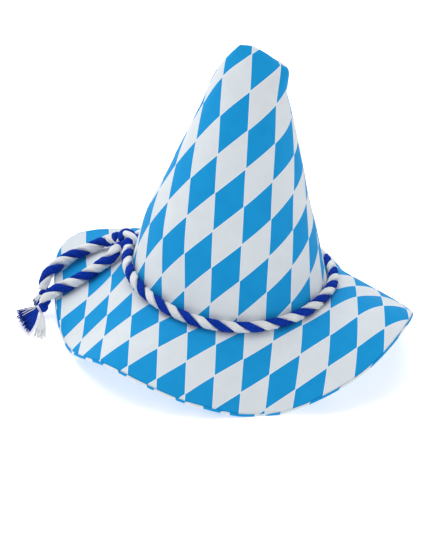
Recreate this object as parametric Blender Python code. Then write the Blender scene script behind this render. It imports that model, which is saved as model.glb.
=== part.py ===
"""A tall felt party hat: a cone crown on a wavy brim, with a twisted cord round the crown's foot.

The hat stands on the floor at z = 0 with the middle of its brim's outline over the origin. +X is
the front, where the brim runs out level like a visor, and the cord is knotted at the back, on the
-X side, where its two ends lie on the brim and hang over the rim. Sizes are in metres and angles in
degrees. Every piece is made round the crown's upright axis and moved into place at the end.
"""

import math
from collections import namedtuple

import bmesh
import bpy
from mathutils import Matrix, Vector

# The crown: a cone sewn from two panels, pinched together along its top ridge.
CROWN_HEIGHT = 0.230
CROWN_WALL = 0.0025
FOOT_RADIUS = 0.100
FOOT_SIDE_DIP = 0.010
DIP_FADES_AT = 0.45

# The brim: a padded ring of cloth that waves up and down round the foot.
BRIM_WIDTH = 0.081
BRIM_DROP = 0.053
BRIM_THICKNESS = 0.003
BRIM_WAVE_TURN = -20.0
RIM_SLANT = 1.15
SLOPE_STEP = 0.04
EDGE_WIDTH = 0.002
EDGE_HEIGHT = 0.0036

# The twisted cord, its knot and its tassels.
BAND_DIAMETER = 0.010
END_DIAMETER = 0.0115
KNOT_TURN = 170.0
KNOT_LENGTH = 0.021
KNOT_THICKNESS = 0.017
KNOT_WRAPS = 3
KNOT_GROOVE = 0.14
TASSEL_HEAD_RADIUS = 0.0050
TASSEL_STIFFNESS = 0.45

# Room left between pieces that touch.
GAP = 0.0003
CORD_CLEARANCE = 0.0006

# How finely the round shapes are divided.
CROWN_SIDES = 44
BRIM_SIDES = 64
EDGE_SIDES = 8
BAND_POINTS = 66
CORD_END_POINTS = 18
KNOT_SIDES = 16
KNOT_STEPS = 12

# Crown sections from the foot to the top ridge. up is a share of CROWN_HEIGHT; back, front and side
# are reaches from the axis as shares of FOOT_RADIUS; slope is how the section rises towards +X.
CrownRow = namedtuple("CrownRow", "up back front side slope")
CROWN_ROWS = [
    CrownRow(0.000, 0.925, 1.040, 0.975, 0.00),
    CrownRow(0.109, 0.885, 0.935, 0.890, 0.00),
    CrownRow(0.239, 0.815, 0.823, 0.795, 0.00),
    CrownRow(0.457, 0.647, 0.647, 0.630, 0.00),
    CrownRow(0.674, 0.477, 0.477, 0.468, 0.00),
    CrownRow(0.770, 0.406, 0.398, 0.388, 0.00),
    CrownRow(0.830, 0.368, 0.346, 0.320, 0.00),
    CrownRow(0.878, 0.330, 0.340, 0.250, 0.00),
    CrownRow(0.917, 0.284, 0.334, 0.175, 0.00),
    CrownRow(0.954, 0.215, 0.300, 0.085, -0.06),
    CrownRow(0.978, 0.140, 0.250, 0.016, -0.26),
]
# The hollow inside follows the same sections up to this one.
LAST_HOLLOW_ROW = 8

# Brim sections, mirrored about the plane at BRIM_WAVE_TURN. turn is the angle from that plane;
# reach is a share of BRIM_WIDTH; drop of the rim and arch of the middle are shares of BRIM_DROP.
BrimRow = namedtuple("BrimRow", "turn reach drop arch")
BRIM_ROWS = [
    BrimRow(0, 1.05, -0.06, 0.13),
    BrimRow(25, 1.00, 0.47, 0.09),
    BrimRow(50, 0.87, 1.02, 0.11),
    BrimRow(75, 0.97, 0.78, 0.09),
    BrimRow(100, 1.05, 0.51, 0.04),
    BrimRow(125, 0.91, 0.98, 0.04),
    BrimRow(150, 0.88, 0.75, -0.18),
    BrimRow(180, 1.02, 0.49, -0.18),
]
# Where the brim's section is cut, as shares of the way from the foot to the rim.
BRIM_STEPS = [0.0, 0.14, 0.30, 0.48, 0.66, 0.84, 1.0]

# Routes of the two free ends of the cord, from the knot over the brim and down past its rim.
UPPER_END_ROUTE = [
    (-0.1090, 0.0240, 0.0605), (-0.1130, 0.0315, 0.0550), (-0.1180, 0.0395, 0.0485), (-0.1240, 0.0440, 0.0430),
    (-0.1300, 0.0420, 0.0405), (-0.1385, 0.0355, 0.0380), (-0.1475, 0.0285, 0.0357), (-0.1560, 0.0200, 0.0335),
    (-0.1645, 0.0090, 0.0312), (-0.1705, -0.0010, 0.0290), (-0.1750, -0.0085, 0.0240), (-0.1765, -0.0140, 0.0180),
    (-0.1765, -0.0185, 0.0130),
]
LOWER_END_ROUTE = [
    (-0.1093, 0.0105, 0.0580), (-0.1115, 0.0050, 0.0525), (-0.1160, 0.0015, 0.0462), (-0.1225, -0.0015, 0.0410),
    (-0.1315, -0.0075, 0.0348), (-0.1405, -0.0140, 0.0300), (-0.1490, -0.0215, 0.0264), (-0.1580, -0.0285, 0.0240),
    (-0.1640, -0.0355, 0.0222), (-0.1690, -0.0400, 0.0180), (-0.1715, -0.0430, 0.0130),
]

# Tassel sections from the bound head to the loose tips. along is a share of the tassel's length;
# wide and thick are half-sizes as shares of TASSEL_HEAD_RADIUS; cut is how deep the locks part.
TasselRow = namedtuple("TasselRow", "along wide thick cut")
TASSEL_ROWS = [
    TasselRow(0.00, 0.45, 0.45, 0.00),
    TasselRow(0.07, 0.92, 0.92, 0.00),
    TasselRow(0.17, 1.00, 1.00, 0.00),
    TasselRow(0.26, 0.66, 0.66, 0.00),
    TasselRow(0.36, 0.95, 0.72, 0.10),
    TasselRow(0.58, 1.75, 0.70, 0.22),
    TasselRow(0.82, 2.30, 0.62, 0.38),
    TasselRow(1.00, 2.10, 0.50, 0.55),
]
TASSEL_LOCKS = 6
TASSEL_SIDES = 24
UPPER_TASSEL_TIP = (-0.1785, -0.0350, 0.0045)
LOWER_TASSEL_TIP = (-0.1790, -0.0740, 0.0036)

# The foot stands above the floor by the rim's drop and the slanting rim's thickness straight down.
FOOT_HEIGHT = BRIM_DROP + RIM_SLANT * BRIM_THICKNESS


def material(name, colour, roughness):
    """A plain cloth or yarn finish."""
    made = bpy.data.materials.new(name)
    made.use_nodes = True
    shader = made.node_tree.nodes["Principled BSDF"]
    shader.inputs["Base Color"].default_value = (*colour, 1.0)
    shader.inputs["Roughness"].default_value = roughness
    shader.inputs["Metallic"].default_value = 0.0
    return made


def place(name, data, finish, collection):
    """Puts a finished piece into the hat's collection."""
    piece = bpy.data.objects.new(name, data)
    data.materials.append(finish)
    collection.objects.link(piece)
    return piece


def loft(name, rings, closed, finish, collection):
    """One closed body through rings of points: capped at both ends, or closed into a loop."""
    bm = bmesh.new()
    loops = [[bm.verts.new(point) for point in ring] for ring in rings]
    pairs = list(zip(loops, loops[1:]))
    if closed:
        pairs.append((loops[-1], loops[0]))
    else:
        bm.faces.new(loops[0])
        bm.faces.new(loops[-1])
    for lower, upper in pairs:
        for k in range(len(lower)):
            after = (k + 1) % len(lower)
            bm.faces.new((lower[k], lower[after], upper[after], upper[k]))
    bmesh.ops.recalc_face_normals(bm, faces=bm.faces)
    mesh = bpy.data.meshes.new(name)
    bm.to_mesh(mesh)
    bm.free()
    mesh.shade_smooth()
    mesh.set_sharp_from_angle(angle=math.radians(45))
    return place(name, mesh, finish, collection)


def tube(name, points, diameter, finish, collection):
    """A cord along the points, with a full cap at each end."""
    curve = bpy.data.curves.new(name, "CURVE")
    curve.dimensions = "3D"
    curve.bevel_depth = diameter / 2
    curve.bevel_resolution = 2
    curve.use_fill_caps = True
    spline = curve.splines.new("POLY")
    spline.points.add(len(points) - 1)
    for slot, point in zip(spline.points, points):
        slot.co = (*point, 1.0)
    return place(name, curve, finish, collection)


def hermite(a, b, slope_a, slope_b, t):
    """Cubic from a to b with the given slopes, at t from 0 to 1."""
    blend = (1 + 2 * t) * (1 - t) ** 2
    return a * blend + slope_a * t * (1 - t) ** 2 + b * (1 - blend) - slope_b * t * t * (1 - t)


def smooth_route(route, count):
    """The given number of points along one smooth curve through the route's own points."""
    knots = [Vector(point) for point in route]
    ends = [2 * knots[0] - knots[1]] + knots + [2 * knots[-1] - knots[-2]]
    slopes = [(ends[k + 2] - ends[k]) / 2 for k in range(len(knots))]
    points = []
    for k in range(count):
        place_on = k * (len(knots) - 1) / (count - 1)
        first = min(int(place_on), len(knots) - 2)
        t = place_on - first
        points.append(hermite(knots[first], knots[first + 1], slopes[first], slopes[first + 1], t))
    return points


def brim_values(azimuth):
    """Reach, drop and arch shares of the brim at an azimuth, smooth between the table's rows."""
    turn = abs((azimuth - BRIM_WAVE_TURN + 180) % 360 - 180)
    last = len(BRIM_ROWS) - 1
    first = max(k for k in range(last) if BRIM_ROWS[k].turn <= turn)

    def slope(k, column):
        if k in (0, last):
            return 0.0
        before, after = BRIM_ROWS[k - 1], BRIM_ROWS[k + 1]
        return (after[column] - before[column]) / (after.turn - before.turn)

    a, b = BRIM_ROWS[first], BRIM_ROWS[first + 1]
    span = b.turn - a.turn
    t = (turn - a.turn) / span
    columns = (1, 2, 3)
    return [hermite(a[c], b[c], slope(first, c) * span, slope(first + 1, c) * span, t) for c in columns]


def crown_reach(row, azimuth):
    """Distance from the axis to a crown section's outline at an azimuth."""
    along, across = math.cos(math.radians(azimuth)), math.sin(math.radians(azimuth))
    reach = row.front if along > 0 else row.back
    return FOOT_RADIUS / math.hypot(along / reach, across / row.side)


def foot_level(azimuth):
    """Height of the corner between crown and brim, lower at the hat's two sides."""
    return FOOT_HEIGHT - FOOT_SIDE_DIP * math.sin(math.radians(azimuth)) ** 2


def brim_top(azimuth, share):
    """Radius and height of the brim's upper face, share 0 at the foot and 1 at the rim."""
    reach, drop, arch = brim_values(azimuth)
    start, level = crown_reach(CROWN_ROWS[0], azimuth), foot_level(azimuth)
    rim_level = FOOT_HEIGHT - BRIM_DROP * drop
    radius = start + share * BRIM_WIDTH * reach
    height = level + share * (rim_level - level) + 4 * share * (1 - share) * BRIM_DROP * arch
    return radius, height


def brim_slope(azimuth, share):
    """Fall of the brim's upper face per metre outwards."""
    inner, outer = max(share - SLOPE_STEP, 0.0), min(share + SLOPE_STEP, 1.0)
    (r0, z0), (r1, z1) = brim_top(azimuth, inner), brim_top(azimuth, outer)
    return (z0 - z1) / (r1 - r0)


def polar(azimuth, radius, height):
    """A point from its azimuth, radius and height."""
    turn = math.radians(azimuth)
    return Vector((radius * math.cos(turn), radius * math.sin(turn), height))


def crown_ring(row, inset, sink):
    """Points of one crown section, moved in by inset and down by sink."""
    ring = []
    fade = max(0.0, 1 - row.up / DIP_FADES_AT) ** 2
    for k in range(CROWN_SIDES):
        turn = 2 * math.pi * (k + 0.5) / CROWN_SIDES
        reach = row.front if math.cos(turn) > 0 else row.back
        x = (FOOT_RADIUS * reach - inset) * math.cos(turn)
        y = (FOOT_RADIUS * row.side - inset) * math.sin(turn)
        dip = FOOT_SIDE_DIP * fade * math.sin(math.atan2(y, x)) ** 2
        ring.append((x, y, FOOT_HEIGHT + GAP + CROWN_HEIGHT * row.up + row.slope * x - dip - sink))
    return ring


def make_crown(finish, collection):
    """The crown's wall: outer sections up to the ridge and the same sections inset for the hollow."""
    hollow = [crown_ring(row, CROWN_WALL, CROWN_WALL if row is CROWN_ROWS[LAST_HOLLOW_ROW] else 0.0)
              for row in reversed(CROWN_ROWS[:LAST_HOLLOW_ROW + 1])]
    outer = [crown_ring(row, 0.0, 0.0) for row in CROWN_ROWS]
    return loft("crown", hollow + outer, False, finish, collection)


def brim_section(azimuth):
    """The brim's closed section: its upper face outwards, then its under face back to the crown."""
    upper, under = [], []
    for share in BRIM_STEPS:
        radius, height = brim_top(azimuth, share)
        depth = BRIM_THICKNESS * math.hypot(1.0, brim_slope(azimuth, share))
        upper.append(polar(azimuth, radius, height))
        under.append(polar(azimuth, radius, max(height - depth, 0.0)))
    radius, height = brim_top(azimuth, 0.0)
    lip = radius - CROWN_WALL
    return [polar(azimuth, lip, height)] + upper + under[::-1] + [polar(azimuth, lip, height - BRIM_THICKNESS)]


def rim_middle(azimuth):
    """Radius and height of the middle of the brim's outer face."""
    radius, height = brim_top(azimuth, 1.0)
    depth = BRIM_THICKNESS * math.hypot(1.0, brim_slope(azimuth, 1.0))
    return radius, (height + max(height - depth, 0.0)) / 2


def edge_section(azimuth):
    """The turned edge of the under cloth, a small rounded strip round the rim."""
    radius, height = rim_middle(azimuth)
    centre = radius + GAP + EDGE_WIDTH / 2
    section = []
    for k in range(EDGE_SIDES):
        turn = 2 * math.pi * (k + 0.5) / EDGE_SIDES
        rise = height + EDGE_HEIGHT / 2 * math.sin(turn)
        section.append(polar(azimuth, centre + EDGE_WIDTH / 2 * math.cos(turn), max(rise, 0.0)))
    return section


def brim_middle():
    """Middle of the brim's outline seen from above."""
    rim = [point for azimuth in around(BRIM_SIDES) for point in edge_section(azimuth)]
    across, deep = [point.x for point in rim], [point.y for point in rim]
    return Vector(((min(across) + max(across)) / 2, (min(deep) + max(deep)) / 2, 0.0))


def around(count):
    """Evenly spaced azimuths of a full turn."""
    return [360.0 * k / count for k in range(count)]


def corner_centre(azimuth, radius):
    """Centre of a round thing of this radius that rests in the corner of crown wall and brim."""
    low, high = CROWN_ROWS[0], CROWN_ROWS[1]
    rise = CROWN_HEIGHT * (high.up - low.up)
    lean = math.atan2(crown_reach(low, azimuth) - crown_reach(high, azimuth), rise)
    fall = math.atan(brim_slope(azimuth, radius / BRIM_WIDTH))
    room = radius + CORD_CLEARANCE
    spread = math.cos(lean) * math.cos(fall) - math.sin(lean) * math.sin(fall)
    out = room * (math.cos(fall) - math.sin(lean)) / spread
    up = room * (math.cos(lean) - math.sin(fall)) / spread
    return polar(azimuth, crown_reach(low, azimuth) + out, foot_level(azimuth) + up)


def make_band(finish, collection):
    """The cord round the crown's foot, from one side of the knot right round to the other."""
    hidden = math.degrees((KNOT_LENGTH / 2 + GAP) / FOOT_RADIUS)
    span = 360.0 - 2 * hidden
    turns = [KNOT_TURN + hidden + span * k / (BAND_POINTS - 1) for k in range(BAND_POINTS)]
    points = [corner_centre(turn, BAND_DIAMETER / 2) for turn in turns]
    return tube("cord_band", points, BAND_DIAMETER, finish, collection)


def make_knot(finish, collection):
    """The knot: a plump bundle of three wraps, lying along the band."""
    centre = corner_centre(KNOT_TURN, KNOT_THICKNESS / 2)
    turn = math.radians(KNOT_TURN)
    along = Vector((-math.sin(turn), math.cos(turn), 0.0))
    outwards = Vector((math.cos(turn), math.sin(turn), 0.0))
    upwards = Vector((0.0, 0.0, 1.0))
    bm = bmesh.new()
    bmesh.ops.create_uvsphere(bm, u_segments=KNOT_SIDES, v_segments=KNOT_STEPS, radius=1.0)
    for vert in bm.verts:
        wrap = 1.0 - KNOT_GROOVE * (0.5 - 0.5 * math.cos(KNOT_WRAPS * math.pi * vert.co.z))
        side = KNOT_THICKNESS / 2 * wrap
        length = KNOT_LENGTH / 2 * vert.co.z
        vert.co = centre + along * length + outwards * side * vert.co.x + upwards * side * vert.co.y
    bmesh.ops.recalc_face_normals(bm, faces=bm.faces)
    mesh = bpy.data.meshes.new("cord_knot")
    bm.to_mesh(mesh)
    bm.free()
    mesh.shade_smooth()
    return place("cord_knot", mesh, finish, collection)


def make_tassel(name, route, tip, finish, collection):
    """A bound head on the cord's end, opening into a flat brush of locks that rests on the floor."""
    end, before = Vector(route[-1]), Vector(route[-2])
    start = end + (end - before).normalized() * GAP
    tip = Vector(tip)
    bend = start + (end - before).normalized() * (tip - start).length * TASSEL_STIFFNESS
    rings = []
    for row in TASSEL_ROWS:
        t = row.along
        middle = start * (1 - t) ** 2 + bend * 2 * t * (1 - t) + tip * t * t
        ahead = ((bend - start) * (1 - t) + (tip - bend) * t).normalized()
        across = ahead.cross(Vector((0.0, 0.0, 1.0))).normalized()
        above = across.cross(ahead)
        ring = []
        for k in range(TASSEL_SIDES):
            turn = 2 * math.pi * k / TASSEL_SIDES
            part = 1 - row.cut * (0.5 - 0.5 * math.cos(TASSEL_LOCKS * turn))
            wide = TASSEL_HEAD_RADIUS * row.wide * part * math.cos(turn)
            thick = TASSEL_HEAD_RADIUS * row.thick * part * math.sin(turn)
            point = middle + across * wide + above * thick
            point.z = max(point.z, GAP)
            ring.append(point)
        rings.append(ring)
    return loft(name, rings, False, finish, collection)


def build():
    """Makes the whole hat."""
    for old in list(bpy.data.objects):
        bpy.data.objects.remove(old, do_unlink=True)
    hat = bpy.data.collections.new("bavarian_hat")
    bpy.context.scene.collection.children.link(hat)

    crown_cloth = material("crown_cloth", (0.03, 0.25, 0.55), 0.85)
    brim_cloth = material("brim_cloth", (0.03, 0.28, 0.60), 0.85)
    edge_cloth = material("edge_cloth", (0.60, 0.66, 0.70), 0.85)
    cord_yarn = material("cord_yarn", (0.02, 0.05, 0.42), 0.9)
    knot_yarn = material("knot_yarn", (0.70, 0.72, 0.75), 0.9)
    tassel_yarn = material("tassel_yarn", (0.02, 0.04, 0.38), 0.9)

    make_crown(crown_cloth, hat)
    azimuths = around(BRIM_SIDES)
    loft("brim", [brim_section(azimuth) for azimuth in azimuths], True, brim_cloth, hat)
    loft("brim_edge", [edge_section(azimuth) for azimuth in azimuths], True, edge_cloth, hat)
    make_band(cord_yarn, hat)
    make_knot(knot_yarn, hat)
    tube("cord_end_upper", smooth_route(UPPER_END_ROUTE, CORD_END_POINTS), END_DIAMETER, cord_yarn, hat)
    tube("cord_end_lower", smooth_route(LOWER_END_ROUTE, CORD_END_POINTS), END_DIAMETER, cord_yarn, hat)
    make_tassel("tassel_upper", UPPER_END_ROUTE, UPPER_TASSEL_TIP, tassel_yarn, hat)
    make_tassel("tassel_lower", LOWER_END_ROUTE, LOWER_TASSEL_TIP, tassel_yarn, hat)

    into_place = Matrix.Translation(-brim_middle())
    for piece in hat.objects:
        piece.data.transform(into_place)


build()
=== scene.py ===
import math
from collections import namedtuple

import bmesh
import bpy
from mathutils import Matrix, Vector, noise


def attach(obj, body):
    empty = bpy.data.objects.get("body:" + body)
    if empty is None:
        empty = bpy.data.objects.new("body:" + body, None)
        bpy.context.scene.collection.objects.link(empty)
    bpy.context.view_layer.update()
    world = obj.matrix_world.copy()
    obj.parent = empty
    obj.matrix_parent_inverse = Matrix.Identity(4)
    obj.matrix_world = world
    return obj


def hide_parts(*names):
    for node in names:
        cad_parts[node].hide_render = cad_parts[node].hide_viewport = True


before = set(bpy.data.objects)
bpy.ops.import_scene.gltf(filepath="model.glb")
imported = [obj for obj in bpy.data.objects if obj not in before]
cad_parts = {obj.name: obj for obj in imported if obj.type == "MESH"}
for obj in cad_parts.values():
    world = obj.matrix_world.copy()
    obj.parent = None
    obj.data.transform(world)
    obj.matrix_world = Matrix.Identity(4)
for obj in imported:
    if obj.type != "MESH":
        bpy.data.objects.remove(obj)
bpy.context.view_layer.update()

# Sizes are in metres and angles in degrees. The hat's forms are worked out round the crown's upright
# axis, which stands here in the frame, and each finished piece is moved there.
AXIS = Vector((-0.00836, -0.00267, 0.0))
INTO_PLACE = Matrix.Translation(AXIS)

CROWN_HEIGHT = 0.230
CROWN_WALL = 0.0025
FOOT_RADIUS = 0.100
FOOT_SIDE_DIP = 0.010
DIP_FADES_AT = 0.45
BRIM_WIDTH = 0.081
BRIM_DROP = 0.053
BRIM_THICKNESS = 0.003
BRIM_WAVE_TURN = -20.0
RIM_SLANT = 1.15
EDGE_WIDTH = 0.0017
EDGE_HEIGHT = 0.0026
BAND_DIAMETER = 0.010
END_DIAMETER = 0.0115
KNOT_TURN = 170.0
KNOT_LENGTH = 0.021
KNOT_THICKNESS = 0.017
GAP = 0.0003
CORD_CLEARANCE = 0.0006
FOOT_HEIGHT = BRIM_DROP + RIM_SLANT * BRIM_THICKNESS

# Crown sections from the foot to the top ridge: up as a share of its height, reaches as shares of the
# foot's radius, and how the section slopes towards the front.
CrownRow = namedtuple("CrownRow", "up back front side slope")
CROWN_ROWS = [
    CrownRow(0.000, 0.925, 1.040, 0.975, 0.00),
    CrownRow(0.109, 0.885, 0.935, 0.890, 0.00),
    CrownRow(0.239, 0.815, 0.823, 0.795, 0.00),
    CrownRow(0.457, 0.647, 0.647, 0.630, 0.00),
    CrownRow(0.674, 0.477, 0.477, 0.468, 0.00),
    CrownRow(0.770, 0.406, 0.398, 0.388, 0.00),
    CrownRow(0.830, 0.368, 0.346, 0.320, 0.00),
    CrownRow(0.878, 0.330, 0.340, 0.250, 0.00),
    CrownRow(0.917, 0.284, 0.334, 0.175, 0.00),
    CrownRow(0.954, 0.222, 0.300, 0.085, -0.06),
    CrownRow(0.978, 0.148, 0.262, 0.016, -0.26),
]
HOLLOW_TOP = 0.917

# How far the ridge stands over the slanting line of the last row, from its back to its front.
RidgeRow = namedtuple("RidgeRow", "along lift")
RIDGE_ROWS = [
    RidgeRow(-0.0240, 0.0000),
    RidgeRow(-0.0150, 0.0012),
    RidgeRow(-0.0080, 0.0034),
    RidgeRow(-0.0020, 0.0046),
    RidgeRow(0.0090, 0.0033),
    RidgeRow(0.0180, 0.0012),
    RidgeRow(0.0250, -0.0006),
    RidgeRow(0.0310, -0.0030),
]
RIDGE_RISES_FROM = 0.92
PANEL_FLAT_FROM = 0.79

# Brim sections either side of the plane at BRIM_WAVE_TURN: reach as a share of the brim's width, the
# rim's drop and the middle's arch as shares of the brim's drop.
BrimRow = namedtuple("BrimRow", "turn reach drop arch")
BRIM_ROWS = [
    BrimRow(0, 1.05, -0.06, 0.13),
    BrimRow(25, 1.00, 0.47, 0.09),
    BrimRow(50, 0.87, 1.02, 0.11),
    BrimRow(75, 0.97, 0.78, 0.09),
    BrimRow(100, 1.05, 0.51, 0.04),
    BrimRow(125, 0.91, 0.98, 0.04),
    BrimRow(150, 0.88, 0.75, -0.18),
    BrimRow(180, 1.02, 0.49, -0.18),
]

# Routes of the cord's two free ends in millimetres, from the knot over the brim and down past its rim.
UPPER_END_ROUTE = [
    (-109.0, 24.0, 60.5), (-113.0, 31.5, 55.0), (-118.0, 39.5, 48.5), (-124.0, 44.0, 43.0), (-130.0, 42.0, 40.5),
    (-138.5, 35.5, 38.0), (-147.5, 28.5, 35.7), (-156.0, 20.0, 33.5), (-164.5, 9.0, 31.2), (-170.5, -1.0, 29.0),
    (-175.0, -8.5, 24.0), (-176.5, -14.0, 18.0), (-176.5, -18.5, 13.0),
]
LOWER_END_ROUTE = [
    (-109.3, 10.5, 58.0), (-111.5, 5.0, 52.5), (-116.0, 1.5, 46.2), (-122.5, -1.5, 41.0), (-131.5, -7.5, 34.8),
    (-140.5, -14.0, 30.0), (-149.0, -21.5, 26.4), (-158.0, -28.5, 24.0), (-164.0, -35.5, 22.2),
    (-169.0, -40.0, 18.0), (-171.5, -43.0, 13.0),
]

# The print: columns of lozenges with upright sides, each column stepped down from the last.
COLUMN_WIDTH = 0.02692
SIDE_LENGTH = 0.03493
COLUMN_STEP = 0.02373
KEYLINE = 0.0007

# How the print lies on the crown's flat cone and on the brim's flat ring.
CONE_APEX = FOOT_HEIGHT + 0.29497
CONE_HALF_ANGLE = 18.82
CONE_FLATNESS = 0.97
CROWN_PRINT_TURN = -4.66
CROWN_PRINT_AT = (-0.00247, 0.06518)
BACK_PANEL_SHIFT = (0.0130, 0.0110)
BRIM_PRINT_TURN = 0.82
BRIM_PRINT_AT = (-0.02004, 0.09178)
BRIM_EASE_ROUND = 1.049
BRIM_EASE_OUT = 1.043
BRIM_FOOT_EASE = -0.00485
UNDER_SHIFT = (0.0095, 0.0160)

# Small slips of the print at the rim, by azimuth: across and down.
SlipRow = namedtuple("SlipRow", "azimuth across down")
SLIP_ROWS = [
    SlipRow(-270, -0.0003, 0.0400),
    SlipRow(-230, -0.0011, 0.0375),
    SlipRow(-200, -0.0022, 0.0260),
    SlipRow(-172, 0.0005, 0.0012),
    SlipRow(-145, 0.0014, 0.0042),
    SlipRow(-115, 0.0007, 0.0003),
    SlipRow(-70, -0.0016, 0.0010),
    SlipRow(-15, 0.0009, -0.0034),
    SlipRow(35, 0.0022, -0.0085),
    SlipRow(90, 0.0035, -0.0110),
]

# Twist of the cord: the length of one full turn of its two plies, and where the blue one starts.
Twist = namedtuple("Twist", "pitch phase")
BAND_TWIST = Twist(0.0291, 32.0)
UPPER_TWIST = Twist(0.0337, 162.0)
LOWER_TWIST = Twist(0.0286, 22.0)

# The camera, from the photograph's angle on the hat.
VIEW_DOWN = 29.6
VIEW_ROLL = 7.73
VIEW_DISTANCE = 1.144
AIM_RIGHT = 0.04202
AIM_UP = 0.25573
FOCAL_LENGTH = 87.15


def hermite(a, b, slope_a, slope_b, t):
    """Cubic from a to b with the given slopes, at t from 0 to 1."""
    blend = (1 + 2 * t) * (1 - t) ** 2
    return a * blend + slope_a * t * (1 - t) ** 2 + b * (1 - blend) - slope_b * t * t * (1 - t)


def from_rows(rows, place, flat_ends):
    """The columns of a table at a place in its first column, smooth between its rows."""
    last = len(rows) - 1
    first = max(k for k in range(last) if rows[k][0] <= place or k == 0)

    def slope(k, column):
        if k in (0, last) and flat_ends:
            return 0.0
        before, after = rows[max(k - 1, 0)], rows[min(k + 1, last)]
        return (after[column] - before[column]) / (after[0] - before[0])

    a, b = rows[first], rows[first + 1]
    span = b[0] - a[0]
    t = (place - a[0]) / span
    columns = range(1, len(a))
    return [hermite(a[c], b[c], slope(first, c) * span, slope(first + 1, c) * span, t) for c in columns]


def crown_reach(row, azimuth):
    """Distance from the axis to a crown section's outline at an azimuth."""
    along, across = math.cos(math.radians(azimuth)), math.sin(math.radians(azimuth))
    reach = row.front if along > 0 else row.back
    return FOOT_RADIUS / math.hypot(along / reach, across / row.side)


def foot_level(azimuth):
    """Height of the corner between crown and brim, lower at the hat's two sides."""
    return FOOT_HEIGHT - FOOT_SIDE_DIP * math.sin(math.radians(azimuth)) ** 2


def brim_top(azimuth, share):
    """Radius and height of the brim's upper face, share 0 at the foot and 1 at the rim."""
    turn = abs((azimuth - BRIM_WAVE_TURN + 180) % 360 - 180)
    reach, drop, arch = from_rows(BRIM_ROWS, turn, True)
    start, level = crown_reach(CROWN_ROWS[0], azimuth), foot_level(azimuth)
    rim_level = FOOT_HEIGHT - BRIM_DROP * drop
    radius = start + share * BRIM_WIDTH * reach
    height = level + share * (rim_level - level) + 4 * share * (1 - share) * BRIM_DROP * arch
    return radius, height


def brim_slope(azimuth, share):
    """Fall of the brim's upper face per metre outwards."""
    inner, outer = max(share - 0.04, 0.0), min(share + 0.04, 1.0)
    (r0, z0), (r1, z1) = brim_top(azimuth, inner), brim_top(azimuth, outer)
    return (z0 - z1) / (r1 - r0)


def polar(azimuth, radius, height):
    """A point from its azimuth, radius and height."""
    turn = math.radians(azimuth)
    return Vector((radius * math.cos(turn), radius * math.sin(turn), height))


def ripple(point, scale, amount):
    """A soft unevenness of cloth: noise of this scale and amount at a point."""
    return amount * noise.noise(Vector(point) / scale)


def finish_piece(name, bm, materials, levels=0, node=None, place=True):
    """Makes a shaped mesh a finished piece of the hat, riding on its one body."""
    if place:
        bmesh.ops.transform(bm, matrix=INTO_PLACE, verts=bm.verts)
    mesh = bpy.data.meshes.new(name)
    bm.to_mesh(mesh)
    bm.free()
    mesh.shade_smooth()
    for finish in materials:
        mesh.materials.append(finish)
    piece = bpy.data.objects.new(name, mesh)
    bpy.context.scene.collection.objects.link(piece)
    if levels:
        smooth = piece.modifiers.new("smooth", "SUBSURF")
        smooth.levels = levels
        smooth.render_levels = levels
        smooth.boundary_smooth = "PRESERVE_CORNERS"
    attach(piece, "root")
    if node:
        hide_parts(node)
    return piece


# Camera


def set_camera():
    """A camera at the photograph's angle: above the hat, looking down at it, rolled a little."""
    down, roll = math.radians(VIEW_DOWN), math.radians(VIEW_ROLL)
    ahead = Vector((0, math.cos(down), -math.sin(down)))
    right = Vector((math.cos(roll), math.sin(roll) * math.sin(down), math.sin(roll) * math.cos(down)))
    up = right.cross(ahead)
    apex = AXIS + Vector((0, 0, CONE_APEX))
    lens = bpy.data.cameras.new("camera")
    lens.lens = FOCAL_LENGTH
    lens.sensor_width = 36.0
    lens.clip_start = 0.05
    lens.clip_end = 50.0
    camera = bpy.data.objects.new("camera", lens)
    bpy.context.scene.collection.objects.link(camera)
    turn = Matrix((right, up, -ahead)).transposed().to_4x4()
    place = apex - AIM_RIGHT * right - AIM_UP * up - VIEW_DISTANCE * ahead
    camera.matrix_world = Matrix.Translation(place) @ turn
    bpy.context.scene.camera = camera


set_camera()


# Shader helpers


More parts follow.
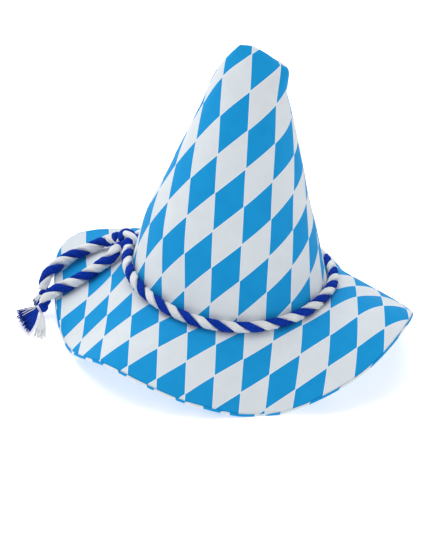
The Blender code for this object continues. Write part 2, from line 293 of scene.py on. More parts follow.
class Shader:
    """A material's or a group's node tree, with short calls for its nodes and links."""

    def __init__(self, tree):
        self.tree = tree

    def node(self, kind, **settings):
        made = self.tree.nodes.new(kind)
        for name, value in settings.items():
            setattr(made, name, value)
        return made

    def plug(self, value, socket):
        if isinstance(value, bpy.types.NodeSocket):
            self.tree.links.new(value, socket)
        elif value is not None:
            socket.default_value = value

    def math(self, operation, a, b=None, c=None, clamp=False):
        made = self.node("ShaderNodeMath", operation=operation, use_clamp=clamp)
        for value, socket in zip((a, b, c), made.inputs):
            self.plug(value, socket)
        return made.outputs[0]

    def mix(self, factor, a, b):
        made = self.node("ShaderNodeMix", data_type="RGBA")
        self.plug(factor, made.inputs[0])
        self.plug(a, made.inputs[6])
        self.plug(b, made.inputs[7])
        return made.outputs[2]

    def noise(self, vector, scale, detail=2.0):
        made = self.node("ShaderNodeTexNoise")
        self.plug(vector, made.inputs["Vector"])
        made.inputs["Scale"].default_value = scale
        made.inputs["Detail"].default_value = detail
        return made.outputs["Fac"]

    def span(self, value, low, high, to_low=0.0, to_high=1.0):
        made = self.node("ShaderNodeMapRange", interpolation_type="SMOOTHSTEP")
        names = ("Value", "From Min", "From Max", "To Min", "To Max")
        for given, name in zip((value, low, high, to_low, to_high), names):
            self.plug(given, made.inputs[name])
        return made.outputs[0]

    def stretch(self, vector, scale):
        made = self.node("ShaderNodeMapping")
        self.plug(vector, made.inputs["Vector"])
        made.inputs["Scale"].default_value = scale
        return made.outputs[0]

    def uv(self, name):
        return self.node("ShaderNodeUVMap", uv_map=name).outputs[0]

    def place(self):
        return self.node("ShaderNodeTexCoord").outputs["Object"]

    def put(self, group, **inputs):
        made = self.node("ShaderNodeGroup", node_tree=group)
        for name, value in inputs.items():
            self.plug(value, made.inputs[name.replace("_", " ")])
        return made.outputs


def new_group(name, inputs, outputs):
    """An empty shader node group with named inputs and outputs, and the nodes at its two ends."""
    tree = bpy.data.node_groups.new(name, "ShaderNodeTree")
    for label, kind, value in inputs:
        socket = tree.interface.new_socket(label, in_out="INPUT", socket_type="NodeSocket" + kind)
        if value is not None:
            socket.default_value = value
    for label, kind in outputs:
        tree.interface.new_socket(label, in_out="OUTPUT", socket_type="NodeSocket" + kind)
    shader = Shader(tree)
    return tree, shader, shader.node("NodeGroupInput").outputs, shader.node("NodeGroupOutput").inputs


BLUE = (0.0085, 0.320, 0.705, 1.0)
DEEP_BLUE = (0.007, 0.300, 0.675, 1.0)
WHITE = (0.745, 0.795, 0.835, 1.0)
GREY_WHITE = (0.715, 0.765, 0.805, 1.0)
LINE_WHITE = (0.860, 0.900, 0.930, 1.0)


def make_lozenge_group():
    """The printed cloth: blue lozenges on white, a thin bright line round each one, over a fine knit."""
    inputs = [("Vector", "Vector", None), ("Start", "Float", 0.0), ("Line", "Float", KEYLINE), ("Rib", "Float", 1300.0)]
    tree, g, given, out = new_group("printed_knit", inputs, [("Colour", "Color"), ("Height", "Float")])
    parts = g.node("ShaderNodeSeparateXYZ")
    g.plug(given["Vector"], parts.inputs[0])
    column = g.math("DIVIDE", parts.outputs[0], COLUMN_WIDTH)
    stepped = g.math("MULTIPLY_ADD", column, COLUMN_STEP, parts.outputs[1])
    row = g.math("DIVIDE", stepped, SIDE_LENGTH)
    count = g.math("ADD", g.math("FLOOR", column), g.math("FLOOR", row))
    count = g.math("ADD", count, given["Start"])
    is_blue = g.math("COMPARE", g.math("FLOORED_MODULO", count, 2.0), 0.0, 0.5)

    slanted = SIDE_LENGTH * COLUMN_WIDTH / math.hypot(COLUMN_WIDTH, COLUMN_STEP)
    to_side = g.math("MULTIPLY", g.math("PINGPONG", column, 0.5), COLUMN_WIDTH)
    to_slant = g.math("MULTIPLY", g.math("PINGPONG", row, 0.5), slanted)
    nearest = g.math("MINIMUM", to_side, to_slant)
    half = g.math("MULTIPLY", given["Line"], 0.5)
    line = g.span(nearest, half, g.math("MULTIPLY", half, 0.5), 0.0, 1.0)

    tone = g.span(g.noise(given["Vector"], 55.0, 5.0), 0.3, 0.7)
    colour = g.mix(is_blue, g.mix(tone, GREY_WHITE, WHITE), g.mix(tone, DEEP_BLUE, BLUE))
    g.plug(g.mix(line, colour, LINE_WHITE), out["Colour"])

    wobble = g.noise(given["Vector"], 90.0, 3.0)
    across = g.math("MULTIPLY_ADD", parts.outputs[0], given["Rib"], g.math("MULTIPLY", wobble, 3.0))
    along = g.math("MULTIPLY_ADD", parts.outputs[1], given["Rib"], g.math("MULTIPLY", wobble, -3.0))
    ribs = g.math("MULTIPLY", g.math("SINE", across), g.math("SINE", along))
    nap = g.noise(given["Vector"], 1500.0, 4.0)
    g.plug(g.math("ADD", g.math("MULTIPLY", ribs, 0.25), nap), out["Height"])
    return tree


def make_yarn_group():
    """Soft spun yarn: fine fibres that run along a ply, a tone that is painted shade where they lie low, and their
    height for the bump.
    """
    inputs = [("Vector", "Vector", None), ("Place", "Vector", None)]
    tree, g, given, out = new_group("yarn_fibres", inputs, [("Shade", "Float"), ("Height", "Float")])
    fibres = g.noise(g.stretch(given["Vector"], (9.0, 260.0, 1.0)), 2.2, 5.0)
    tufts = g.noise(given["Place"], 420.0, 4.0)
    # The tone follows the fibres' height: the low parts come out darker, as painted shade between the fibres.
    total = g.math("MULTIPLY_ADD", tufts, 0.6, fibres)
    g.plug(g.span(total, 0.55, 1.05), out["Shade"])
    g.plug(g.math("ADD", fibres, tufts), out["Height"])
    return tree


PRINTED_KNIT = make_lozenge_group()
YARN_FIBRES = make_yarn_group()


def new_material(name, roughness, sheen):
    """A Principled material's shader helper and its shader's inputs."""
    made = bpy.data.materials.new(name)
    made.use_nodes = True
    inputs = made.node_tree.nodes["Principled BSDF"].inputs
    inputs["Roughness"].default_value = roughness
    inputs["Sheen Weight"].default_value = sheen
    inputs["Sheen Roughness"].default_value = 0.5
    inputs["Specular IOR Level"].default_value = 0.12
    return made, Shader(made.node_tree), inputs


def give_bump(s, inputs, height, strength, distance):
    """Feeds a height into a material's normal."""
    bump = s.node("ShaderNodeBump")
    bump.inputs["Strength"].default_value = strength
    bump.inputs["Distance"].default_value = distance
    s.plug(height, bump.inputs["Height"])
    s.plug(bump.outputs[0], inputs["Normal"])


def printed_cloth(name, start):
    """Smooth knitted cloth with the blue and white lozenges printed on it."""
    made, s, inputs = new_material(name, 0.85, 0.03)
    cloth = s.put(PRINTED_KNIT, Vector=s.uv("print"), Start=start)
    s.plug(cloth["Colour"], inputs["Base Color"])
    give_bump(s, inputs, cloth["Height"], 0.25, 0.0002)
    return made


def plain_lining():
    """The white foam backing inside the crown."""
    made, s, inputs = new_material("foam_lining", 0.9, 0.05)
    place = s.place()
    s.plug(s.mix(s.noise(place, 60.0, 4.0), (0.66, 0.67, 0.66, 1), (0.76, 0.77, 0.76, 1)), inputs["Base Color"])
    give_bump(s, inputs, s.noise(place, 900.0, 3.0), 0.4, 0.0004)
    return made


def yarn(name, dark, light):
    """Soft spun yarn between a dark and a light tone of one colour, the dark tone painted shade in the low parts
    between the fibres.
    """
    made, s, inputs = new_material(name, 0.95, 0.02)
    fibres = s.put(YARN_FIBRES, Vector=s.uv("ply"), Place=s.place())
    s.plug(s.mix(fibres["Shade"], dark, light), inputs["Base Color"])
    give_bump(s, inputs, fibres["Height"], 0.8, 0.0007)
    return made


# Each yarn's dark tone is painted shade in the valleys between its fibres, and the light tone is the yarn's own colour.
BLUE_YARN = yarn("blue_yarn", (0.0004, 0.018, 0.280, 1), (0.003, 0.060, 0.540, 1))
WHITE_YARN = yarn("white_yarn", (0.900, 0.920, 0.930, 1), (0.970, 0.980, 0.985, 1))
CROWN_CLOTH = printed_cloth("crown_print", 0.0)
BRIM_CLOTH = printed_cloth("brim_print", 1.0)
EDGE_CLOTH = printed_cloth("edge_print", 1.0)
LINING = plain_lining()


# Cords


def smooth_route(route, step):
    """Points about one step apart along one smooth curve through the route's own points."""
    knots = [Vector(point) / 1000 for point in route]
    ends = [2 * knots[0] - knots[1]] + knots + [2 * knots[-1] - knots[-2]]
    slopes = [(ends[k + 2] - ends[k]) / 2 for k in range(len(knots))]
    points = []
    for k in range(len(knots) - 1):
        count = max(1, round((knots[k + 1] - knots[k]).length / step))
        points += [hermite(knots[k], knots[k + 1], slopes[k], slopes[k + 1], n / count) for n in range(count)]
    return points + [knots[-1]]


def frames_along(points):
    """Each point with the path's direction there and two sides that turn as little as they can."""
    frames = []
    side = None
    for k, point in enumerate(points):
        ahead = (points[min(k + 1, len(points) - 1)] - points[max(k - 1, 0)]).normalized()
        if side is None:
            side = ahead.cross(Vector((0, 0, 1))).normalized()
        side = (side - ahead * side.dot(ahead)).normalized()
        frames.append((point, ahead, side, ahead.cross(side)))
    return frames


def sweep(bm, rings, finish, layer, lengths):
    """Pulls a closed ring through all the given rings of points, and closes both ends."""
    count = len(rings[0])
    start = bmesh.ops.create_circle(bm, cap_ends=False, segments=count, radius=0.001)["verts"]
    for vert, point in zip(start, rings[0]):
        vert.co = point
    edges = list({edge for vert in start for edge in vert.link_edges})
    loops = [start]
    row = start
    for ring in rings[1:]:
        after = {}
        made = bmesh.ops.extrude_edge_only(bm, edges=edges)["geom"]
        edges = [item for item in made if isinstance(item, bmesh.types.BMEdge)]
        fresh = {item for item in made if isinstance(item, bmesh.types.BMVert)}
        edges = [edge for edge in edges if edge.verts[0] in fresh and edge.verts[1] in fresh]
        for vert in row:
            after[vert] = next(e.other_vert(vert) for e in vert.link_edges if e.other_vert(vert) in fresh)
        row = [after[vert] for vert in row]
        for vert, point in zip(row, ring):
            vert.co = point
        loops.append(row)
    index = {vert: (k, n) for k, loop in enumerate(loops) for n, vert in enumerate(loop)}
    faces = {face for loop in loops for vert in loop for face in vert.link_faces}
    for loop in (loops[0], loops[-1]):
        faces.add(bmesh.ops.contextual_create(bm, geom=loop)["faces"][0])
    for face in faces:
        face.material_index = finish
        last_side = any(index[vert][1] == count - 1 for vert in face.verts)
        for corner in face.loops:
            k, n = index[corner.vert]
            round_it = count if last_side and n == 0 and len(face.verts) == 4 else n
            corner[layer].uv = (lengths[k], round_it / count)
    return faces


def path_lengths(points):
    """Length along the points up to each one."""
    total = [0.0]
    for a, b in zip(points, points[1:]):
        total.append(total[-1] + (b - a).length)
    return total


# A ply's section in the twisted cord, as shares of the cord's radius.
PLY_OUT = 0.46
PLY_DEEP = 0.58
PLY_WIDE = 0.88
PLY_SIDES = 18


def twist(bm, points, diameter, turns, swell=None):
    """A cord of two plies, one blue and one white, twisted right-handed along the points."""
    layer = bm.loops.layers.uv.verify()
    frames, lengths = frames_along(points), path_lengths(points)
    for number in (0, 1):
        rings = []
        for (point, ahead, side, other), length in zip(frames, lengths):
            turn = math.radians(turns.phase) + math.tau * length / turns.pitch + math.pi * number
            out = side * math.cos(turn) + other * math.sin(turn)
            across = ahead.cross(out)
            size = diameter / 2 * (swell(length / lengths[-1]) if swell else 1.0)
            centre = point + out * PLY_OUT * size
            ring = []
            for k in range(PLY_SIDES):
                angle = math.tau * k / PLY_SIDES
                reach_out, reach_side = PLY_DEEP * math.cos(angle), PLY_WIDE * math.sin(angle)
                spot = centre + out * reach_out * size + across * reach_side * size
                fluff = 1 + ripple(spot, 0.0016, 0.05)
                ring.append(centre + (spot - centre) * fluff)
            rings.append(ring)
        sweep(bm, rings, number, layer, lengths)


def free_end(name, node, route, turns):
    """One free end of the cord, laid along its route over the brim."""
    points = smooth_route(route, 0.0012)
    bm = bmesh.new()
    bm.loops.layers.uv.new("ply")
    twist(bm, points, END_DIAMETER, turns, swell=lambda t: 1.0 - 0.12 * max(0.0, t - 0.85) / 0.15)
    bmesh.ops.recalc_face_normals(bm, faces=bm.faces)
    piece = finish_piece(name, bm, [BLUE_YARN, WHITE_YARN], node=node)
    return piece


def corner_centre(azimuth, radius):
    """Centre of a round thing of this radius that rests in the corner of crown wall and brim."""
    low, high = CROWN_ROWS[0], CROWN_ROWS[1]
    rise = CROWN_HEIGHT * (high.up - low.up)
    lean = math.atan2(crown_reach(low, azimuth) - crown_reach(high, azimuth), rise)
    fall = math.atan(brim_slope(azimuth, radius / BRIM_WIDTH))
    room = radius + CORD_CLEARANCE
    spread = math.cos(lean) * math.cos(fall) - math.sin(lean) * math.sin(fall)
    out = room * (math.cos(fall) - math.sin(lean)) / spread
    up = room * (math.cos(lean) - math.sin(fall)) / spread
    return polar(azimuth, crown_reach(low, azimuth) + out, foot_level(azimuth) + up)


def make_band():
    """The twisted cord round the crown's foot, from one side of the knot to the other."""
    hidden = math.degrees((KNOT_LENGTH / 2 - 0.004) / FOOT_RADIUS)
    span = 360.0 - 2 * hidden
    steps = 560
    turns = [KNOT_TURN + hidden + span * k / steps for k in range(steps + 1)]
    points = [corner_centre(turn, BAND_DIAMETER / 2) for turn in turns]
    bm = bmesh.new()
    bm.loops.layers.uv.new("ply")
    twist(bm, points, BAND_DIAMETER, BAND_TWIST)
    bmesh.ops.recalc_face_normals(bm, faces=bm.faces)
    return finish_piece("twisted_band", bm, [BLUE_YARN, WHITE_YARN], node="cord_band")


# Strands of the knot, in millimetres from its middle: outwards, upwards and along the band to the near
# side. Each is one ply where it shows.
Strand = namedtuple("Strand", "finish diameter route")
KNOT_STRANDS = [
    Strand(1, 12.5, [(-5, 1, -2), (-2, 0.5, -1), (2, -0.5, 0), (5, -1, 0)]),
    Strand(0, 9.4, [(-8, 4, -2), (-6, 5, 4), (-1, 2, 7.5), (4, -2.5, 7.5), (8, -6, 3), (8.5, -6, -3)]),
    Strand(1, 6.6, [(4, 6, -3), (3, 8, 1), (-1, 9, 3.5), (-5, 8.5, 5), (-8, 6, 6), (-9, 2, 7)]),
    Strand(1, 6.8, [(8, -6, 4), (4, -8, 8.5), (-1, -6.5, 11), (-5, -4, 11.5), (-7, -1, 9)]),
    Strand(0, 7.8, [(-5, -3, -9), (0, 3, -9.5), (5, 6, -6), (7.5, 5, 0), (6, 2, 5)]),
    Strand(1, 7.2, [(8.5, -3, 3), (9, -4, -4), (5, -5, -9), (-1, -5, -9.5), (-5, -2, -7)]),
]


def make_knot():
    """The knot: plies of the cord wound over one another where the two ends come away."""
    centre = corner_centre(KNOT_TURN, KNOT_THICKNESS / 2)
    turn = math.radians(KNOT_TURN)
    outwards = Vector((math.cos(turn), math.sin(turn), 0.0))
    along = Vector((-math.sin(turn), math.cos(turn), 0.0))
    local = Matrix((outwards, (0.0, 0.0, 1.0), along)).transposed()
    bm = bmesh.new()
    layer = bm.loops.layers.uv.new("ply")
    for strand in KNOT_STRANDS:
        points = [centre + local @ point for point in smooth_route(strand.route, 0.0010)]
        frames, lengths = frames_along(points), path_lengths(points)
        rings = []
        for (point, ahead, side, other), length in zip(frames, lengths):
            share = length / lengths[-1]
            size = strand.diameter / 2000 * (0.75 + 0.25 * math.sin(math.pi * share) ** 0.5)
            ring = []
            for k in range(PLY_SIDES):
                angle = math.tau * k / PLY_SIDES
                spot = point + (side * math.cos(angle) + other * math.sin(angle)) * size
                ring.append(point + (spot - point) * (1 + ripple(spot, 0.0016, 0.05)))
            rings.append(ring)
        sweep(bm, rings, strand.finish, layer, lengths)
    bmesh.ops.recalc_face_normals(bm, faces=bm.faces)
    return finish_piece("wound_knot", bm, [BLUE_YARN, WHITE_YARN], node="cord_knot")


THREAD = 0.0012
FLOOR_ROOM = 0.0004


def thread(bm, layer, points, finish, diameter=THREAD):
    """One loose thread of a tassel, thinner to its tip."""
    frames, lengths = frames_along(points), path_lengths(points)
    rings = []
    for (point, ahead, side, other), length in zip(frames, lengths):
        size = diameter / 2 * (1.0 - 0.55 * (length / lengths[-1]) ** 2)
        ring = []
        for k in range(6):
            angle = math.tau * k / 6
            spot = point + (side * math.cos(angle) + other * math.sin(angle)) * size
            spot.z = max(spot.z, FLOOR_ROOM)
            ring.append(spot)
        rings.append(ring)
    sweep(bm, rings, finish, layer, lengths)


# A tuft's threads: side leads from its middle tip to its last one.
Tuft = namedtuple("Tuft", "finish count root tip side lift")


def make_tassel(name, route, knob_size, knob_turn, tufts, node):
    """A bound knob on the cord's end, a ring of white thread round it, and a fan of loose threads."""
    end, before = Vector(route[-1]) / 1000, Vector(route[-2]) / 1000
    ahead = ((end - before).normalized() + Vector(knob_turn)).normalized()
    end -= Vector(knob_turn) * knob_size * 1.4
    bm = bmesh.new()
    layer = bm.loops.layers.uv.new("ply")

    knob = [end + ahead * knob_size * (0.05 + 2.1 * k / 10) for k in range(11)]
    rings = []
    for k, (point, forward, side, other) in enumerate(frames_along(knob)):
        size = knob_size * math.sqrt(max(0.06, 1 - (2 * k / 10 - 1) ** 2 * 0.94))
        ring = []
        for n in range(16):
            angle = math.tau * n / 16
            bumpy = size * (1 + ripple((n, k, 3), 1.7, 0.10))
            ring.append(point + (side * math.cos(angle) + other * math.sin(angle)) * bumpy)
        rings.append(ring)
    sweep(bm, rings, 0, layer, path_lengths(knob))

    neck = knob[-1]
    side = ahead.cross(Vector((0, 0, 1))).normalized()
    other = ahead.cross(side)
    ring_path = []
    for k in range(41):
        angle = math.tau * k / 20
        round_neck = side * math.cos(angle) + other * math.sin(angle)
        ring_path.append(neck - ahead * (0.0012 + 0.0010 * k / 40) + round_neck * knob_size * 0.70)
    thread(bm, layer, ring_path, 1, 0.0030)

    for number, tuft in enumerate(tufts):
        tip = Vector(tuft.tip)
        length = (tip - neck).length
        to_tip = (tip - neck).normalized()
        for k in range(tuft.count):
            share = (k + 0.5) / tuft.count * 2 - 1
            wander = noise.noise_vector(Vector((k * 1.7, number * 9.1, 0.3)))
            root = neck + Vector(tuft.root) - ahead * 0.001
            start = root + (side * wander.x + other * wander.y) * knob_size * 0.45
            aside = Vector(tuft.side) * share
            far = tip + aside + to_tip * length * 0.24 * wander.z
            far.z = max(FLOOR_ROOM + THREAD / 2, far.z + tuft.lift * (0.5 + wander.y))
            bend = start + to_tip * length * 0.45 + aside * 0.75
            bend.z += 0.001 * wander.x
            points = []
            for n in range(8):
                t = n / 7
                point = start * (1 - t) ** 2 + bend * 2 * t * (1 - t) + far * t * t
                point += noise.noise_vector(Vector((k * 3.1, n * 0.7, number))) * 0.0009 * t
                point.z = max(point.z, FLOOR_ROOM + THREAD / 2)
                points.append(point)
            thread(bm, layer, points, tuft.finish)
    bmesh.ops.recalc_face_normals(bm, faces=bm.faces)
    return finish_piece(name, bm, [BLUE_YARN, WHITE_YARN], node=node)


UPPER_TUFTS = [
    Tuft(0, 30, (-0.0010, 0.0010, 0.0015), (-0.1808, -0.0400, 0.0072), (0.0024, -0.0040, -0.0012), 0.003),
    Tuft(1, 8, (-0.0016, 0.0016, 0.0022), (-0.1808, -0.0385, 0.0084), (0.0018, -0.0030, -0.0010), 0.003),
]
LOWER_TUFTS = [
    Tuft(0, 140, (-0.0010, 0.0010, 0.0010), (-0.1858, -0.0722, 0.0038), (0.0084, -0.0125, -0.0024), 0.007),
    Tuft(1, 3, (-0.0014, 0.0012, 0.0022), (-0.1905, -0.0640, 0.0085), (0.0026, -0.0040, -0.0012), 0.003),
    Tuft(1, 28, (0.0028, -0.0015, -0.0012), (-0.1668, -0.0885, 0.0020), (0.0056, 0.0012, 0.0), 0.003),
]

upper_tassel = make_tassel("upper_tassel_threads", UPPER_END_ROUTE, 0.0040, (0, 0, 0), UPPER_TUFTS, "tassel_upper")
lower_tassel = make_tassel("lower_tassel_threads", LOWER_END_ROUTE, 0.0050, (-0.60, 0.0, 0.15), LOWER_TUFTS, "tassel_lower")
free_end("upper_cord_end", "cord_end_upper", UPPER_END_ROUTE, UPPER_TWIST)
free_end("lower_cord_end", "cord_end_lower", LOWER_END_ROUTE, LOWER_TWIST)
make_band()
make_knot()


# Crown


SEAM_GROOVE = 0.0008
SEAM_HALF_WIDTH = 0.0013
CROWN_RIPPLE = 0.0009


def crown_turns():
    """Turns round the crown from the front, closer together beside the front and back seams."""
    beside = [0.0, 0.4, 0.9, 1.7, 3.0]
    even = [5.0 + 170.0 * k / 56 for k in range(57)]
    half = beside + even + [180.0 - turn for turn in reversed(beside[1:])]
    return half + [180.0 + turn for turn in half]


def crown_section(up, turns, inset):
    """Points of the crown's section at a share of its height, moved in by inset."""
    back, front, side, slope = from_rows(CROWN_ROWS, up, False)
    fade = max(0.0, 1 - up / DIP_FADES_AT) ** 2
    points = []
    for degrees in turns:
        turn = math.radians(degrees)
        reach = FOOT_RADIUS * (front if math.cos(turn) > 0 else back) - inset
        across = FOOT_RADIUS * side - inset
        x, y = reach * math.cos(turn), across * math.sin(turn)
        dip = FOOT_SIDE_DIP * fade * math.sin(math.atan2(y, x)) ** 2
        z = FOOT_HEIGHT + GAP + CROWN_HEIGHT * up + slope * x - dip
        if up > RIDGE_RISES_FROM:
            place = min(max(x, RIDGE_ROWS[0].along), RIDGE_ROWS[-1].along)
            rise = (up - RIDGE_RISES_FROM) / (CROWN_ROWS[-1].up - RIDGE_RISES_FROM)
            z += from_rows(RIDGE_ROWS, place, True)[0] * hermite(0.0, 1.0, 0.0, 0.0, rise)
        if not inset:
            beside = min(degrees % 180, 180 - degrees % 180)
            seam = SEAM_GROOVE * math.exp(-(reach * math.radians(beside) / SEAM_HALF_WIDTH) ** 2)
            push = ripple((x, y, z), 0.045, CROWN_RIPPLE) * min(1.0, across / 0.02) - seam
            x, y = x * (1 + push / reach), y * (1 + push / max(across, 0.004))
        points.append(Vector((x, y, z)))
    return points


def on_cone(turn, height):
    """Where a point of a panel lies on the cone laid flat: across, and down from the apex."""
    theta = math.radians(turn - 270.0)
    slope = math.tan(math.radians(CONE_HALF_ANGLE))
    sides = CONE_FLATNESS
    flat = math.sin(math.radians(CONE_HALF_ANGLE))
    flat *= (1 + sides) / 2 * theta + (1 - sides) / 4 * math.sin(2 * theta)
    spread = slope ** 2 * (math.sin(theta) ** 2 + (sides * math.cos(theta)) ** 2)
    down = (CONE_APEX - height) * math.sqrt(1 + spread)
    return down * math.sin(flat), down * math.cos(flat)


def panel_print(rings, first_flat, turns, shift):
    """A panel's rings laid flat on the print: as a cone, and above that by their true lengths."""
    middle = min(range(len(turns)), key=lambda n: abs(turns[n] - 270.0))
    turned = math.radians(CROWN_PRINT_TURN)
    placed = []
    flat = []
    for k, ring in enumerate(rings):
        arcs = path_lengths(ring)
        arcs = [arc - arcs[middle] for arc in arcs]
        if k <= first_flat:
            flat = [on_cone(turn, point.z) for turn, point in zip(turns, ring)]
            eases = [x / arc if arc else 1.0 for (x, y), arc in zip(flat, arcs)]
        else:
            above = []
            for (x, y), point, under, arc, ease in zip(flat, ring, rings[k - 1], arcs, eases):
                climb = (point - under).length ** 2 - (arc * ease - x) ** 2
                above.append((arc * ease, y - math.sqrt(max(climb, 0.0))))
            flat = above
        uvs = []
        for x, y in flat:
            x, y = x - CROWN_PRINT_AT[0], y - CROWN_PRINT_AT[1]
            u = math.cos(turned) * x + math.sin(turned) * y + shift[0]
            uvs.append((u, math.cos(turned) * y - math.sin(turned) * x + shift[1]))
        placed.append(uvs)
    return placed


def pull_rings(bm, rings):
    """A tube of quads pulled through rings of points; gives back its loops of corners."""
    start = bmesh.ops.create_circle(bm, cap_ends=False, segments=len(rings[0]), radius=0.1)["verts"]
    for vert, point in zip(start, rings[0]):
        vert.co = point
    edges = list({edge for vert in start for edge in vert.link_edges})
    loops = [start]
    for ring in rings[1:]:
        made = bmesh.ops.extrude_edge_only(bm, edges=edges)["geom"]
        fresh = {item for item in made if isinstance(item, bmesh.types.BMVert)}
        edges = [item for item in made if isinstance(item, bmesh.types.BMEdge) and set(item.verts) <= fresh]
        row = [next(e.other_vert(vert) for e in vert.link_edges if e.other_vert(vert) in fresh) for vert in loops[-1]]
        for vert, point in zip(row, ring):
            vert.co = point
        loops.append(row)
    return loops


def make_crown():
    """The crown: foam lining inside, printed cloth outside, its two panels meeting in seams."""
    turns = crown_turns()
    low = [k / 44 * 0.80 for k in range(45)]
    high = [0.80 + 0.178 * k / 26 for k in range(1, 27)]
    hollow_ups = [up for up in reversed(low + high) if up <= HOLLOW_TOP][::2]
    if hollow_ups[-1] > 0:
        hollow_ups.append(0.0)
    hollow = [crown_section(up, turns, CROWN_WALL) for up in hollow_ups]
    outer = [crown_section(up, turns, 0.0) for up in low + high]
    ridge = [Vector((point.x * 0.985, point.y * 0.35, point.z + 0.0005)) for point in outer[-1]]
    closing = [Vector((point.x * 0.97, 0.0, point.z + 0.0006)) for point in outer[-1]]
    shown = outer + [ridge, closing]

    half = len(turns) // 2
    first_flat = sum(1 for up in low + high if up <= PANEL_FLAT_FROM) - 1
    near_turns = turns[half:] + [360.0]
    near = panel_print([ring[half:] + ring[:1] for ring in shown], first_flat, near_turns, (0.0, 0.0))
    far = panel_print([ring[:half + 1] for ring in shown], first_flat, near_turns, BACK_PANEL_SHIFT)

    bm = bmesh.new()
    layer = bm.loops.layers.uv.new("print")
    loops = pull_rings(bm, hollow + shown)
    place = {vert: (k, n) for k, loop in enumerate(loops) for n, vert in enumerate(loop)}
    cap = bmesh.ops.contextual_create(bm, geom=loops[0])["faces"]
    inner = len(hollow)
    for face in bm.faces:
        own = [place[vert] for vert in face.verts]
        outside = max(k for k, n in own) >= inner
        face.material_index = 0 if outside else 1
        is_near = max(n for k, n in own) > half
        for corner in face.loops:
            k, n = place[corner.vert]
            k = max(k - inner, 0)
            if is_near:
                corner[layer].uv = near[k][(n if n else 2 * half) - half]
            else:
                corner[layer].uv = far[k][n]
    cap[0].material_index = 1
    bmesh.ops.remove_doubles(bm, verts=loops[-1], dist=0.00002)
    bmesh.ops.recalc_face_normals(bm, faces=bm.faces)
    return finish_piece("printed_crown", bm, [CROWN_CLOTH, LINING], levels=1, node="crown")


make_crown()


# Brim


BRIM_COLUMNS = 200
BRIM_RIPPLE = 0.0010


def brim_print(azimuth, slant):
    """Where a point of the brim lies on the flat print: azimuth from -270 to 90 and the slant way out."""
    radius = crown_reach(CROWN_ROWS[0], azimuth)
    turn = math.radians(azimuth) * BRIM_EASE_ROUND
    reach = radius + BRIM_FOOT_EASE + slant * BRIM_EASE_OUT
    x, y = reach * math.cos(turn), reach * math.sin(turn)
    turned = math.radians(BRIM_PRINT_TURN)
    u = math.cos(turned) * x - math.sin(turned) * y + BRIM_PRINT_AT[0]
    up = math.sin(turned) * x + math.cos(turned) * y + BRIM_PRINT_AT[1]
    across, down = from_rows(SLIP_ROWS, azimuth, True)
    slip = max(slant, 0.0) / BRIM_WIDTH
    return u + across * slip, down * slip - up


BrimPoint = namedtuple("BrimPoint", "place azimuth slant")


def brim_column(azimuth):
    """The brim's closed section at an azimuth, with the slant way out to each of its points."""
    steps = 22
    top, under = [], []
    slant = 0.0
    for k in range(steps + 1):
        share = 1 - (1 - k / steps) ** 1.25
        radius, height = brim_top(azimuth, share)
        if top:
            slant += math.hypot(radius - last[0], height - last[1])
        last = (radius, height)
        soft = math.sin(math.pi * min(share * 1.15, 1.0))
        lift = ripple(polar(azimuth, radius, height), 0.038, BRIM_RIPPLE) * soft
        depth = BRIM_THICKNESS * math.hypot(1.0, brim_slope(azimuth, share))
        top.append(BrimPoint(polar(azimuth, radius, height + lift), azimuth, slant))
        under.append(BrimPoint(polar(azimuth, radius, max(height + lift - depth, 0.0)), azimuth, slant))
    lip = top[0].place - polar(azimuth, CROWN_WALL, 0.0)
    first = BrimPoint(lip, azimuth, -CROWN_WALL)
    rim, low = top[-1], under[-1]
    outer = polar(azimuth, 0.0007, 0.0)
    bulge = []
    for share in (0.22, 0.5, 0.78):
        spot = rim.place.lerp(low.place, share) + outer * (1.0 if share == 0.5 else 0.75)
        bulge.append(BrimPoint(spot, azimuth, slant + 0.003 * share))
    drop = Vector((0, 0, BRIM_THICKNESS))
    last_one = BrimPoint(lip - drop, azimuth, -CROWN_WALL)
    return [first] + top + bulge + under[::-1] + [last_one], len(top) + 3


def make_brim():
    """The brim: a padded ring of printed cloth, the same print underneath."""
    azimuths = [-270.0 + 360.0 * k / BRIM_COLUMNS for k in range(BRIM_COLUMNS)]
    columns = []
    for azimuth in azimuths:
        column, turn_over = brim_column(azimuth)
        columns.append(column)
    rings = [[column[k].place for column in columns] for k in range(len(columns[0]))]
    bm = bmesh.new()
    layer = bm.loops.layers.uv.new("print")
    loops = pull_rings(bm, rings)
    place = {vert: (k, n) for k, loop in enumerate(loops) for n, vert in enumerate(loop)}
    ends = [edge for edge in bm.edges if edge.is_boundary]
    bmesh.ops.bridge_loops(bm, edges=ends)
    for face in bm.faces:
        own = [place[vert] for vert in face.verts]
        below = max(k for k, n in own) > turn_over
        wraps = max(n for k, n in own) == BRIM_COLUMNS - 1 and min(n for k, n in own) == 0
        for corner in face.loops:
            k, n = place[corner.vert]
            point = columns[n][k]
            azimuth = point.azimuth + (360.0 if wraps and n == 0 else 0.0)
            u, v = brim_print(azimuth, point.slant)
            shift = UNDER_SHIFT if below else (0.0, 0.0)
            corner[layer].uv = (u + shift[0], v + shift[1])
    bmesh.ops.recalc_face_normals(bm, faces=bm.faces)
    return finish_piece("printed_brim", bm, [BRIM_CLOTH], levels=1, node="brim")


make_brim()


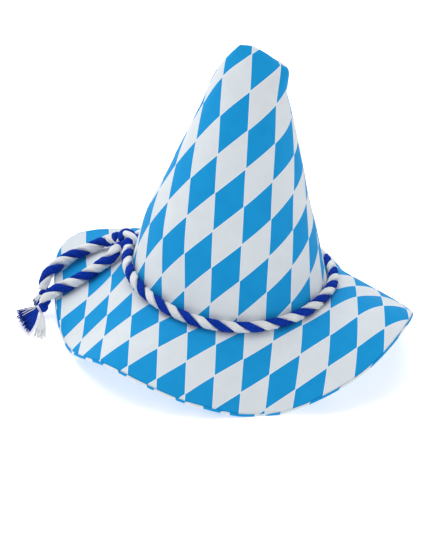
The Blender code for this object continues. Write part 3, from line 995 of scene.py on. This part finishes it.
def make_edge():
    """The turned edge of the under cloth, a soft strip that shows all round the rim."""
    count = 260
    azimuths = [-270.0 + 360.0 * k / count for k in range(count)]
    sides = 10
    rings = []
    facts = []
    for k in range(sides):
        turn = math.tau * k / sides
        ring, fact = [], []
        for azimuth in azimuths:
            radius, height = brim_top(azimuth, 1.0)
            depth = BRIM_THICKNESS * math.hypot(1.0, brim_slope(azimuth, 1.0))
            middle = (height + max(height - depth, 0.0)) / 2
            pucker = ripple(polar(azimuth, radius, 0.0), 0.012, 0.0004)
            out = radius + 0.0004 + EDGE_WIDTH / 2 * (1 + math.cos(turn)) + pucker * 0.5
            rise = middle - 0.0006 + EDGE_HEIGHT / 2 * math.sin(turn) + pucker
            ring.append(polar(azimuth, out, max(rise, 0.0)))
            fact.append((azimuth, radius, 0.088 + 0.003 * math.cos(turn)))
        rings.append(ring)
        facts.append(fact)
    bm = bmesh.new()
    layer = bm.loops.layers.uv.new("print")
    loops = pull_rings(bm, rings)
    place = {vert: (k, n) for k, loop in enumerate(loops) for n, vert in enumerate(loop)}
    bmesh.ops.bridge_loops(bm, edges=[edge for edge in bm.edges if edge.is_boundary])
    for face in bm.faces:
        own = [place[vert] for vert in face.verts]
        wraps = max(n for k, n in own) == count - 1 and min(n for k, n in own) == 0
        for corner in face.loops:
            k, n = place[corner.vert]
            azimuth, radius, slant = facts[k][n]
            azimuth += 360.0 if wraps and n == 0 else 0.0
            u, v = brim_print(azimuth, slant)
            corner[layer].uv = (u + UNDER_SHIFT[0], v + UNDER_SHIFT[1])
    bmesh.ops.recalc_face_normals(bm, faces=bm.faces)
    return finish_piece("turned_edge", bm, [EDGE_CLOTH], node="brim_edge")


make_edge()


# Floor and light


def make_floor():
    """A plain pale floor that the hat stands on."""
    bm = bmesh.new()
    bmesh.ops.create_grid(bm, x_segments=1, y_segments=1, size=7.0)
    bmesh.ops.translate(bm, verts=bm.verts, vec=(0.0, 2.0, -0.0002))
    mesh = bpy.data.meshes.new("floor")
    bm.to_mesh(mesh)
    bm.free()
    made = bpy.data.materials.new("pale_floor")
    made.use_nodes = True
    inputs = made.node_tree.nodes["Principled BSDF"].inputs
    inputs["Base Color"].default_value = (0.93, 0.93, 0.93, 1)
    inputs["Roughness"].default_value = 0.9
    inputs["Specular IOR Level"].default_value = 0.0
    inputs["Emission Color"].default_value = (1.0, 1.0, 1.0, 1)
    inputs["Emission Strength"].default_value = 0.42
    mesh.materials.append(made)
    floor = bpy.data.objects.new("floor", mesh)
    bpy.context.scene.collection.objects.link(floor)


def area_light(name, place, towards, size, power, colour):
    """One large soft lamp."""
    lamp = bpy.data.lights.new(name, "AREA")
    lamp.shape = "SQUARE"
    lamp.size = size
    lamp.energy = power
    lamp.color = colour
    light = bpy.data.objects.new(name, lamp)
    bpy.context.scene.collection.objects.link(light)
    light.location = place
    light.rotation_euler = (Vector(towards) - Vector(place)).to_track_quat("-Z", "Y").to_euler()


def set_light():
    """A soft studio: one big lamp overhead, a weak one at either side, and an even pale surround."""
    area_light("key_light", (-0.55, 0.85, 2.15), (0, 0, 0.1), 2.4, 38.0, (1.0, 1.0, 1.0))
    area_light("left_light", (-2.2, -1.1, 1.2), (0, 0, 0.1), 1.6, 10.0, (1.0, 1.0, 1.0))
    area_light("right_light", (2.2, -0.9, 1.1), (0, 0, 0.1), 1.6, 9.0, (1.0, 1.0, 1.0))
    world = bpy.data.worlds.new("surround")
    world.use_nodes = True
    background = world.node_tree.nodes["Background"]
    background.inputs["Color"].default_value = (1.0, 1.0, 1.0, 1.0)
    background.inputs["Strength"].default_value = 0.49
    bpy.context.scene.world = world
    bpy.context.scene.view_settings.view_transform = "Standard"


make_floor()
set_light()
